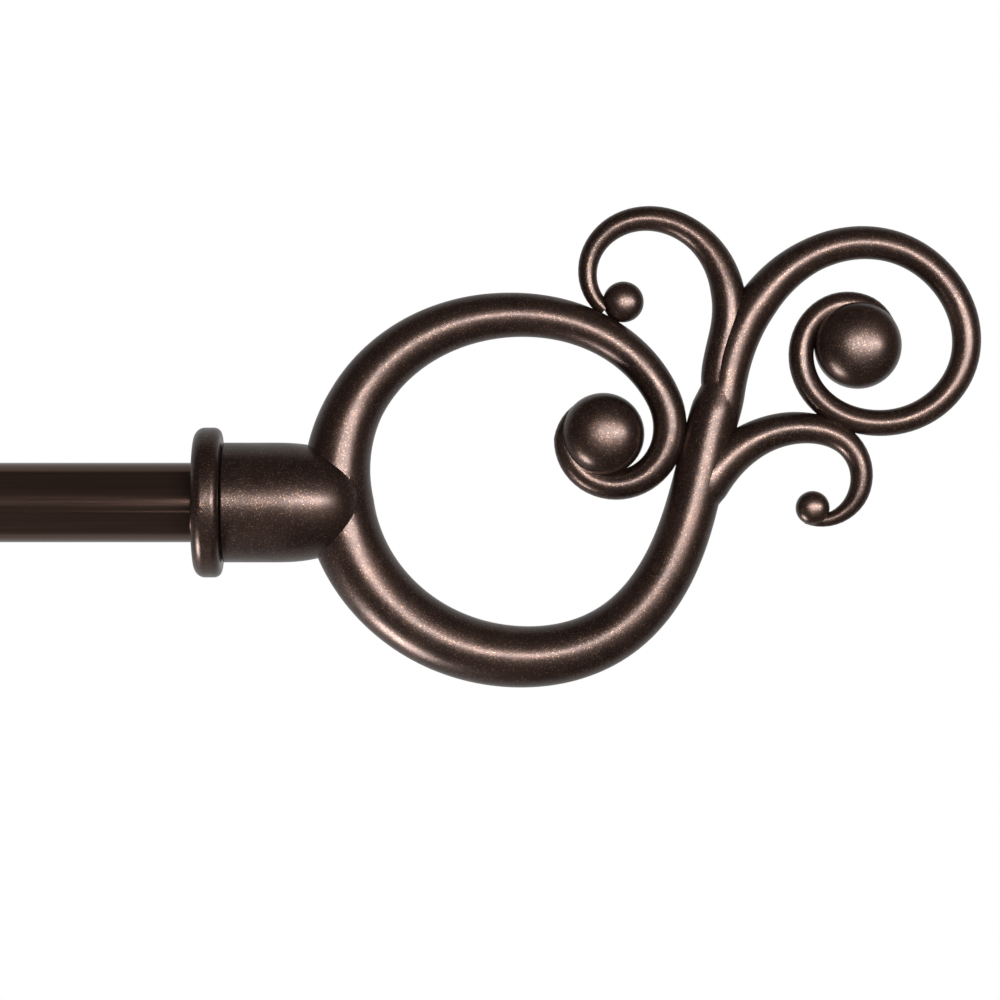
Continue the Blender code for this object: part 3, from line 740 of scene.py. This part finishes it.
def span(node, axis):
    """A node's size along one axis of the room."""
    low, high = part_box(node)
    return high[axis] - low[axis]


# ---------------------------------------------------------------- finial and collar


def base_mesh():
    """Drum and nose of the finial."""
    profile = [(0, 0), (0, BASE_RADIUS * MM, 0.5 * MM), (DRUM_LENGTH * MM, BASE_RADIUS * MM)]
    for index in range(1, NOSE_STEPS + 1):
        angle = math.pi / 2 * index / NOSE_STEPS
        share = math.sin(angle) ** (2 / NOSE_POWER)
        height = abs(math.cos(angle)) ** (2 / NOSE_POWER) if index < NOSE_STEPS else 0
        profile.append(((DRUM_LENGTH + share * NOSE_LENGTH) * MM, height * BASE_RADIUS * MM))
    return turned("base", profile, TUBE_FLATS)


def bar_mesh(name, scroll):
    points = scroll.points()
    path = bpy.data.meshes.new(name)
    path.from_pydata(
        [(along * MM, 0, up * MM) for along, up, _ in points],
        [(index, index + 1) for index in range(len(points) - 1)], [])
    radii = path.attributes.new("bar_radius", "FLOAT", "POINT")
    radii.data.foreach_set("value", [radius * MM for _, _, radius in points])
    made = BAR.made(name, FINISHES["finial_paint"], path)
    shape = bmesh.new()
    shape.from_mesh(made)
    return mesh_from(name, shape)


def ball_mesh(centre, radius):
    """A ball flattened a little from front to back, with full sides."""
    profile = []
    for index in range(BALL_STEPS + 1):
        angle = math.pi * index / BALL_STEPS
        side = abs(math.sin(angle)) ** (2 / BALL_POWER) if 0 < index < BALL_STEPS else 0
        depth = math.copysign(abs(math.cos(angle)) ** (2 / BALL_POWER), -math.cos(angle))
        profile.append((radius * BALL_DEPTH * MM * depth, radius * MM * side))
    along, up = centre
    return moved(turned("ball", profile, BALL_FLATS), (along * MM, 0, up * MM), "room")


def finial_mesh():
    bars = [bar_mesh(name, scroll) for name, scroll in SCROLLS.items()]
    balls = [ball_mesh(centre, radius) for centre, radius in BALLS]
    ring = combined(bars[0], "UNION", base_mesh())
    return combined(ring, "UNION", *bars[1:], *balls, solver="MANIFOLD")


def collar_mesh(width, radius):
    """Bead with a rounder back edge, and a small ring left by the mould's gate."""
    back, front = COLLAR_BACK_ROUND, COLLAR_FRONT_ROUND
    hole = STUD_HOLE_RADIUS
    profile = [
        (SOCKET_DEPTH, hole), (SOCKET_DEPTH, SOCKET_RADIUS), (0, SOCKET_RADIUS, 0.3 * MM),
        *quarter((back[0], radius - back[1]), back, 180, 14),
        *quarter((width - front[0], radius - front[1]), front, 90, 10),
        (width, hole),
    ]
    bead = turned("collar", profile, TUBE_FLATS)
    ring, wire = GATE_MARK
    along, lift = GATE_MARK_AT
    mark = moved(turned("mark", [
        (wire * math.cos(a), ring + wire * math.sin(a))
        for a in (math.tau * index / 8 for index in range(8))
    ], 28), facing="down")
    lifted = Matrix.Rotation(math.pi / 2 + lift, 4, "X")
    mark.transform(lifted @ Matrix.Translation((along, 0, radius)))
    return together("collar", bead, mark)


# ---------------------------------------------------------------- rod


def plug_mesh(radius, spigot, pocket=None, flange=PLUG_FLANGE, length=PLUG_LENGTH):
    """Flanged plug with its flange's outer face at local X = 0 and grip rings on its spigot."""
    profile = [(0, radius, 0.3 * MM), (-flange, radius), (-flange, spigot)]
    half, rise = GRIP_RING
    for start in GRIP_RINGS_AT:
        at = -flange - start
        if start < length - 2 * MM:
            profile += [(at, spigot), (at - half, spigot + rise), (at - 2 * half, spigot)]
    profile += [(-flange - length, spigot, 0.4 * MM), (-flange - length, 0)]
    if pocket:
        bore, depth = pocket
        profile = [(-depth, 0), (-depth, bore), (0, bore, 0.3 * MM), *profile]
    else:
        profile = [(0, 0), *profile]
    return turned("plug", profile)


def add_rod():
    radius = span("outer_tube", 2) / 2
    inner_radius = span("inner_tube", 2) / 2
    for node, outer in (("outer_tube", radius), ("inner_tube", inner_radius)):
        profile = tube(0, span(node, 0), outer - TUBE_WALL, outer, EDGE_ROUND)
        add_piece(node, turned(node, profile, TUBE_FLATS), "right", end_of(node, "right"))
    glide_radius = inner_radius - TUBE_WALL - GAP
    glide = plug_mesh(inner_radius, glide_radius, flange=GLIDE_FLANGE, length=GLIDE_LENGTH)
    add_piece("inner_tube_glide", glide, "right", end_of("inner_tube_glide", "right", "end"))
    for side, outer in (("right", radius), ("left", inner_radius)):
        plug = plug_mesh(radius, outer - TUBE_WALL - GAP, PLUG_POCKET)
        add_piece(f"end_plug_{side}", plug, side, end_of(f"end_plug_{side}", side, "end"))
        node = f"threaded_insert_{side}"
        brass = FINISHES["brass_insert"]
        length = span(node, 0)
        insert = turned("insert", tube(0, length, *INSERT_RADII, EDGE_ROUND))
        ridges = RIDGES.made(
            "ridges", brass, Count=INSERT_RIDGES, Radius=INSERT_RADII[1] - 0.05 * MM,
            Length=INSERT_RIDGED_SHARE * length, Ridge=INSERT_RIDGE)
        margin = (1 - INSERT_RIDGED_SHARE) / 2 * length
        insert = together("insert", insert, along_x(ridges, margin))
        add_piece(node, insert, side, end_of(node, side))


def add_finials():
    casting = finial_mesh()
    for side in ("right", "left"):
        collar_node = f"finial_collar_{side}"
        face = end_of(collar_node, side)
        collar = collar_mesh(span(collar_node, 0), span(collar_node, 2) / 2)
        add_piece(collar_node, collar, side, face)
        flat_face = face.copy()
        low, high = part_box(f"finial_{side}")
        flat_face.x = low.x if side == "right" else high.x
        add_piece(f"finial_{side}", casting.copy(), side, flat_face)
        node = f"finial_stud_{side}"
        length = span(node, 0)
        stud = turned("stud", rod(0, length, STUD_RADIUS, STUD_CHAMFER))
        wound = thread(
            FINISHES["zinc_steel"], STUD_CHAMFER, length - 2 * STUD_CHAMFER,
            STUD_RADIUS - 0.08 * MM, STUD_PITCH, STUD_RIDGE)
        add_piece(node, together("stud", stud, wound), side, end_of(node, side))


# ---------------------------------------------------------------- brackets


def cross_cutters(width, thickness, depth):
    """The two bars of a cross that is cut into a screw head at local X = 0, narrower inside."""
    bars = []
    for turn, extra in ((0, 0), (math.pi / 2, 0.02 * MM)):
        shape = bmesh.new()
        for vert in bmesh.ops.create_cube(shape, size=1)["verts"]:
            taper = 1 if vert.co.x < 0 else 0.45
            along = -CUTTER_LEAD if vert.co.x < 0 else depth + extra
            vert.co = Vector((along, vert.co.y * width * taper, vert.co.z * thickness))
        bmesh.ops.rotate(
            shape, verts=shape.verts, cent=(0, 0, 0), matrix=Matrix.Rotation(turn, 3, "X"))
        bars.append(mesh_from("bar", shape))
    return bars


def plate_mesh(width, height, thickness, hole_heights):
    """Plate with round ends, a softened front edge and a seat round each screw hole."""
    radius = width / 2
    rise = height / 2 - radius
    outline = []
    for top, first_angle in ((1, 0), (-1, math.pi)):
        for index in range(PLATE_END_FLATS + 1):
            angle = first_angle + math.pi * index / PLATE_END_FLATS
            outline.append((radius * math.cos(angle), top * rise + radius * math.sin(angle)))
    shape = bmesh.new()
    face = shape.faces.new([shape.verts.new((x, 0, z)) for x, z in outline])
    grown = bmesh.ops.extrude_face_region(shape, geom=[face])["geom"]
    front = [item for item in grown if isinstance(item, bmesh.types.BMVert)]
    bmesh.ops.translate(shape, verts=front, vec=(0, -thickness, 0))
    rim = [edge for edge in shape.edges if all(vert in front for vert in edge.verts)]
    bmesh.ops.bevel(
        shape, geom=rim, offset=PLATE_EDGE, offset_type="OFFSET", segments=PLATE_EDGE_STEPS,
        profile=0.5, affect="EDGES")
    plate = mesh_from("plate", shape)
    holes = []
    for level in hole_heights:
        hole = turned("hole", [
            (-thickness, 0), (-thickness, PLATE_HOLE / 2), (thickness - 0.5 * MM, PLATE_HOLE / 2),
            (thickness + 0.5 * MM, PLATE_HOLE / 2 + 1 * MM), (thickness + 0.5 * MM, 0)])
        holes.append(moved(hole, (0, 0, level), "room"))
    return combined(plate, "DIFFERENCE", *holes)


def sleeve_mesh(length, inner):
    outer = inner + SLEEVE_WALL
    foot, foot_length = SLEEVE_FOOT
    ring, ring_length = MOUTH_RING
    sleeve = turned("sleeve", [
        (0, inner), (0, foot / 2), (foot_length, foot / 2, 1.1 * MM),
        (foot_length, outer, 0.9 * MM),
        (length - ring_length, outer, 0.5 * MM), (length - ring_length, ring / 2, 1 * MM),
        (length, ring / 2, 1.2 * MM), (length, inner, 0.4 * MM),
    ], TUBE_FLATS)
    hole = turned("hole", rod(0, ring, THUMB_SCREW_DIAMETER / 2 + GAP))
    moved(hole, (length - ring_length / 2, 0, 0), "down")
    return combined(sleeve, "DIFFERENCE", hole)


def cradle_mesh(tube_radius):
    inner = tube_radius + CRADLE_CLEARANCE
    outer = inner + CRADLE_WALL
    half_heel = HEEL_HEIGHT / 2
    heel_angle = math.asin(half_heel / outer)
    shares = [index / CRADLE_FLATS for index in range(CRADLE_FLATS + 1)]
    outside = [
        (outer * math.cos(angle), outer * math.sin(angle))
        for angle in (math.pi + (math.pi - heel_angle) * share for share in shares)
    ]
    inside = [
        (inner * math.cos(angle), inner * math.sin(angle))
        for angle in (-math.pi * share for share in shares)
    ]
    outline = [
        (-outer, CRADLE_FRONT_HEIGHT), *outside, (HEEL_DEPTH, -half_heel), (HEEL_DEPTH, half_heel),
        (outer, half_heel), (outer, CRADLE_BACK_HEIGHT), (inner, CRADLE_BACK_HEIGHT), *inside,
        (-inner, CRADLE_FRONT_HEIGHT),
    ]
    shape = bmesh.new()
    face = shape.faces.new([shape.verts.new((-CRADLE_WIDTH / 2, y, z)) for y, z in outline])
    grown = bmesh.ops.extrude_face_region(shape, geom=[face])["geom"]
    far = [item for item in grown if isinstance(item, bmesh.types.BMVert)]
    bmesh.ops.translate(shape, verts=far, vec=(CRADLE_WIDTH, 0, 0))
    cradle = with_modifier(
        mesh_from("cradle", shape), "BEVEL", width=0.7 * MM, segments=4,
        limit_method="ANGLE", angle_limit=math.radians(40))
    diameter, height = BOSS
    boss = turned("boss", [
        (inner + CRADLE_WALL / 2, 0), (inner + CRADLE_WALL / 2, diameter / 2),
        (outer + height, diameter / 2, 0.6 * MM), (outer + height, 0)])
    cradle = combined(cradle, "UNION", moved(boss, facing="room"))
    lock_hole = turned("hole", rod(inner / 2, 2 * outer, THUMB_SCREW_DIAMETER / 2 + GAP))
    head, head_length = CRADLE_SCREW_HEAD
    flare = inner + CRADLE_SCREW_SUNK
    shank = THUMB_SCREW_DIAMETER / 2 + GAP
    screw_hole = turned("hole", [
        (inner - 1 * MM, 0), (inner - 1 * MM, head / 2 + GAP), (flare + GAP, head / 2 + GAP),
        (flare + head_length + GAP, shank), (HEEL_DEPTH + 1 * MM, shank), (HEEL_DEPTH + 1 * MM, 0)])
    return combined(
        cradle, "DIFFERENCE", moved(lock_hole, facing="room"), moved(screw_hole, facing="wall"))


def cradle_screw_mesh(length):
    """Countersunk screw with a cross in its head."""
    head, head_length = CRADLE_SCREW_HEAD
    core = THUMB_SCREW_CORE
    screw = turned("screw", [
        (0, 0), (0, head / 2, 0.15 * MM), (head_length, core), (length, core, 0.4 * MM),
        (length, 0)])
    screw = combined(screw, "DIFFERENCE", *cross_cutters(*CRADLE_SCREW_CROSS))
    wound = thread(
        FINISHES["zinc_steel"], head_length + 1 * MM, length - head_length - 1.5 * MM,
        core - 0.03 * MM, SCREW_PITCH, FINE_THREAD)
    return together("screw", screw, wound)


def thumb_screw_mesh(length):
    """Thumb screw: threaded shank, a neck and a head with ridges and a dished end."""
    head_radius, head_length = THUMB_HEAD
    head_start = length - head_length
    core = THUMB_SCREW_CORE
    paint = FINISHES["screw_paint"]
    body = turned("screw", [
        (0, 0), (0, core, 0.3 * MM), (head_start, core), (head_start, 3.1 * MM, 0.2 * MM),
        (head_start + 0.8 * MM, 3.1 * MM),
        (head_start + 0.8 * MM, head_radius - 0.35 * MM, 0.3 * MM),
        (length, head_radius - 0.35 * MM, 0.6 * MM), (length - 0.5 * MM, 2.6 * MM, 0.3 * MM),
        (length - 0.5 * MM, 0)])
    ridge_length = head_length - 2.2 * MM
    ridges = RIDGES.made(
        "ridges", paint, Count=THUMB_RIDGES, Radius=head_radius - THUMB_RIDGE, Length=ridge_length,
        Ridge=THUMB_RIDGE)
    wound = thread(
        paint, 0.3 * MM, head_start - 0.9 * MM, core - 0.03 * MM, SCREW_PITCH, FINE_THREAD)
    return together("screw", body, along_x(ridges, head_start + 1.5 * MM), wound)


def wall_screw_mesh(length):
    """Wall screw with a domed head, a cross in it, a wound thread and a point."""
    head_height, head_radius = WALL_SCREW_HEAD
    core = WALL_SCREW_CORE
    crown = quarter((head_height, 0), (head_height, head_radius), 180, 10)
    screw = turned("screw", [
        (crown[0][0], 0), *crown[1:], (head_height + 0.25 * MM, head_radius - 0.25 * MM),
        (head_height + 0.3 * MM, WALL_SCREW_NECK), (head_height + 3 * MM, WALL_SCREW_NECK),
        (head_height + 3.6 * MM, core), (length - 5 * MM, core), (length, 0)])
    screw = combined(screw, "DIFFERENCE", *cross_cutters(*WALL_SCREW_CROSS))
    wound = thread(
        FINISHES["screw_paint"], head_height + 3.6 * MM, length - head_height - 7.5 * MM,
        core + 0.05 * MM, WALL_SCREW_PITCH, WALL_SCREW_RIDGE)
    return together("screw", screw, wound)


def anchor_mesh(length, radius):
    """Ribbed nylon anchor with a rounded far end."""
    inner = ANCHOR_BORE
    body = turned("anchor", [
        (0, inner, 0.15 * MM), (0, radius, 0.15 * MM), (0.8 * MM, radius),
        (1 * MM, radius - 0.35 * MM), (length, radius - 0.5 * MM, 0.2 * MM), (length, inner)])
    ribs = RIBS.made(
        "ribs", FINISHES["white_nylon"], Count=ANCHOR_RIBS, Radius=radius - 0.42 * MM,
        Spacing=ANCHOR_RIB_SPACING, Rib=ANCHOR_RIB)
    return together("anchor", body, along_x(ribs, ANCHOR_FIRST_RIB))


def add_wall_bracket(side):
    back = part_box(f"wall_plate_{side}")[1].y
    middle = middle_of(f"wall_plate_{side}")
    heights = [middle_of(f"wall_screw_{side}_{level}").z for level in ("upper", "lower")]
    plate = plate_mesh(
        span(f"wall_plate_{side}", 0), span(f"wall_plate_{side}", 2), span(f"wall_plate_{side}", 1),
        [height - middle.z for height in heights])
    add_piece(f"wall_plate_{side}", plate, "right", (middle.x, back, middle.z))
    node = f"arm_sleeve_{side}"
    sleeve = sleeve_mesh(span(node, 1), span(f"bracket_arm_{side}", 0) / 2 + GAP)
    add_piece(node, sleeve, "room", end_of(node, "room"))
    for level in ("upper", "lower"):
        node = f"wall_screw_{side}_{level}"
        add_piece(node, wall_screw_mesh(span(node, 1)), "wall", end_of(node, "wall"))
        node = f"wall_anchor_{side}_{level}"
        add_piece(node, anchor_mesh(span(node, 1), span(node, 0) / 2), "wall", end_of(node, "wall"))


def add_arm(side, tube_node):
    node = f"bracket_arm_{side}"
    radius = span(node, 0) / 2
    length = span(node, 1)
    bore = THUMB_SCREW_DIAMETER / 2 + GAP
    bottom = length - CRADLE_SCREW_IN_ARM - GAP
    arm = turned("arm", [
        (0, 0), (0, radius, 0.8 * MM), (length, radius, 0.3 * MM), (length, bore), (bottom, bore),
        (bottom, 0)])
    add_piece(node, arm, "room", end_of(node, "room"))
    tube_middle = middle_of(tube_node)
    centre = (middle_of(node).x, tube_middle.y, tube_middle.z)
    add_piece(f"cradle_{side}", cradle_mesh(span(tube_node, 2) / 2), "right", centre)
    node = f"cradle_screw_{side}"
    add_piece(node, cradle_screw_mesh(span(node, 1)), "wall", end_of(node, "wall"))


def add_lock(name, facing, axis):
    node = f"{name}_pad"
    pad = turned("pad", rod(0, span(node, axis), span(node, 0) / 2, 0.25 * MM))
    add_piece(node, pad, facing, end_of(node, facing))
    node = f"{name}_screw"
    add_piece(node, thumb_screw_mesh(span(node, axis)), facing, end_of(node, facing))


add_rod()
add_finials()
for side, tube_node in (("right", "outer_tube"), ("left", "inner_tube")):
    add_wall_bracket(side)
    add_arm(side, tube_node)
    add_lock(f"rod_lock_{side}", "room", 1)
    add_lock(f"arm_lock_{side}", "down", 2)


# ---------------------------------------------------------------- room, light and camera


FLOOR_HALF = 6.0
FLOOR_DROP = 0.9

# The room's own light in front of the rod and behind it, and where one turns into the other.
FRONT_LIGHT = 0.09
REAR_LIGHT = 0.6
LIGHT_TURNS = (0.12, 0.34)


def pale_floor():
    """A plain floor well below the rod, evenly pale from every side; the rod doesn't mirror it."""
    mesh = bpy.data.meshes.new("floor")
    low = cad_box[0].z - FLOOR_DROP
    corners = ((-1, -1), (1, -1), (1, 1), (-1, 1))
    mesh.from_pydata(
        [(x * FLOOR_HALF, y * FLOOR_HALF, low) for x, y in corners], [], [(0, 1, 2, 3)])
    finish = Finish("pale_floor_paint")
    glow = finish.ramp(finish.noise(3.0), (0.3, (0.80, 0.80, 0.79)), (0.7, (0.84, 0.84, 0.83)))
    finish.set(
        Base_Color=(0.03, 0.03, 0.03, 1), Specular_IOR_Level=0.0, Roughness=1.0,
        Emission_Color=glow, Emission_Strength=1.0)
    mesh.materials.append(finish.material)
    floor = bpy.data.objects.new("floor", mesh)
    floor.visible_glossy = False
    floor.visible_diffuse = False
    bpy.context.scene.collection.objects.link(floor)


def softbox(name, at, towards, size, power):
    """A rectangular soft light, size = (width, height) in metres."""
    data = bpy.data.lights.new(name, "AREA")
    data.shape = "RECTANGLE"
    data.size, data.size_y = size
    data.energy = power
    light = bpy.data.objects.new(name, data)
    light.visible_camera = False
    light.location = at
    light.rotation_euler = (Vector(towards) - Vector(at)).to_track_quat("-Z", "Y").to_euler()
    bpy.context.scene.collection.objects.link(light)


def white_room():
    """Seen directly the room is white; it lights the rod well from behind and dimly in front."""
    world = bpy.data.worlds.new("white_room")
    bpy.context.scene.world = world
    world.use_nodes = True
    nodes, links = world.node_tree.nodes, world.node_tree.links
    background = nodes["Background"]
    where = nodes.new("ShaderNodeTexCoord")
    split = nodes.new("ShaderNodeSeparateXYZ")
    links.new(where.outputs["Generated"], split.inputs[0])
    behind = nodes.new("ShaderNodeMapRange")
    behind.interpolation_type = "SMOOTHSTEP"
    for index, value in enumerate((*LIGHT_TURNS, FRONT_LIGHT, REAR_LIGHT), 1):
        behind.inputs[index].default_value = value
    links.new(split.outputs["Y"], behind.inputs[0])
    path = nodes.new("ShaderNodeLightPath")
    seen = nodes.new("ShaderNodeMix")
    seen.inputs["B"].default_value = 1.0
    links.new(path.outputs["Is Camera Ray"], seen.inputs["Factor"])
    links.new(behind.outputs[0], seen.inputs["A"])
    links.new(seen.outputs[0], background.inputs["Strength"])
    background.inputs["Color"].default_value = (1, 1, 1, 1)


ROD_PLANE = middle_of("outer_tube").y
FINIAL_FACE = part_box("finial_right")[0].x
VIEW_CENTRE = Vector((FINIAL_FACE + 71.7 * MM, ROD_PLANE, 0.65 * MM))
CAMERA_DISTANCE = 1.16
VIEW_WIDTH = 258.8 * MM

camera_data = bpy.data.cameras.new("camera")
camera_data.angle = 2 * math.atan(VIEW_WIDTH / 2 / CAMERA_DISTANCE)
camera_data.clip_end = 50
camera = bpy.data.objects.new("camera", camera_data)
camera.location = VIEW_CENTRE - Vector((0, CAMERA_DISTANCE, 0))
camera.rotation_euler = (math.pi / 2, 0, 0)
bpy.context.scene.collection.objects.link(camera)
bpy.context.scene.camera = camera
bpy.context.scene.view_settings.view_transform = "Standard"

pale_floor()
white_room()
eye = camera.location
softbox("key_strip", eye + Vector((0.38, 0.0, 0.088)), VIEW_CENTRE, (1.0, 0.06), 30)
softbox("low_left", VIEW_CENTRE + Vector((-0.62, -0.12, -0.88)), VIEW_CENTRE, (0.35, 0.35), 16)
softbox("low_strip", eye + Vector((0.2, 0.1, -0.56)), VIEW_CENTRE, (0.8, 0.05), 0.25)
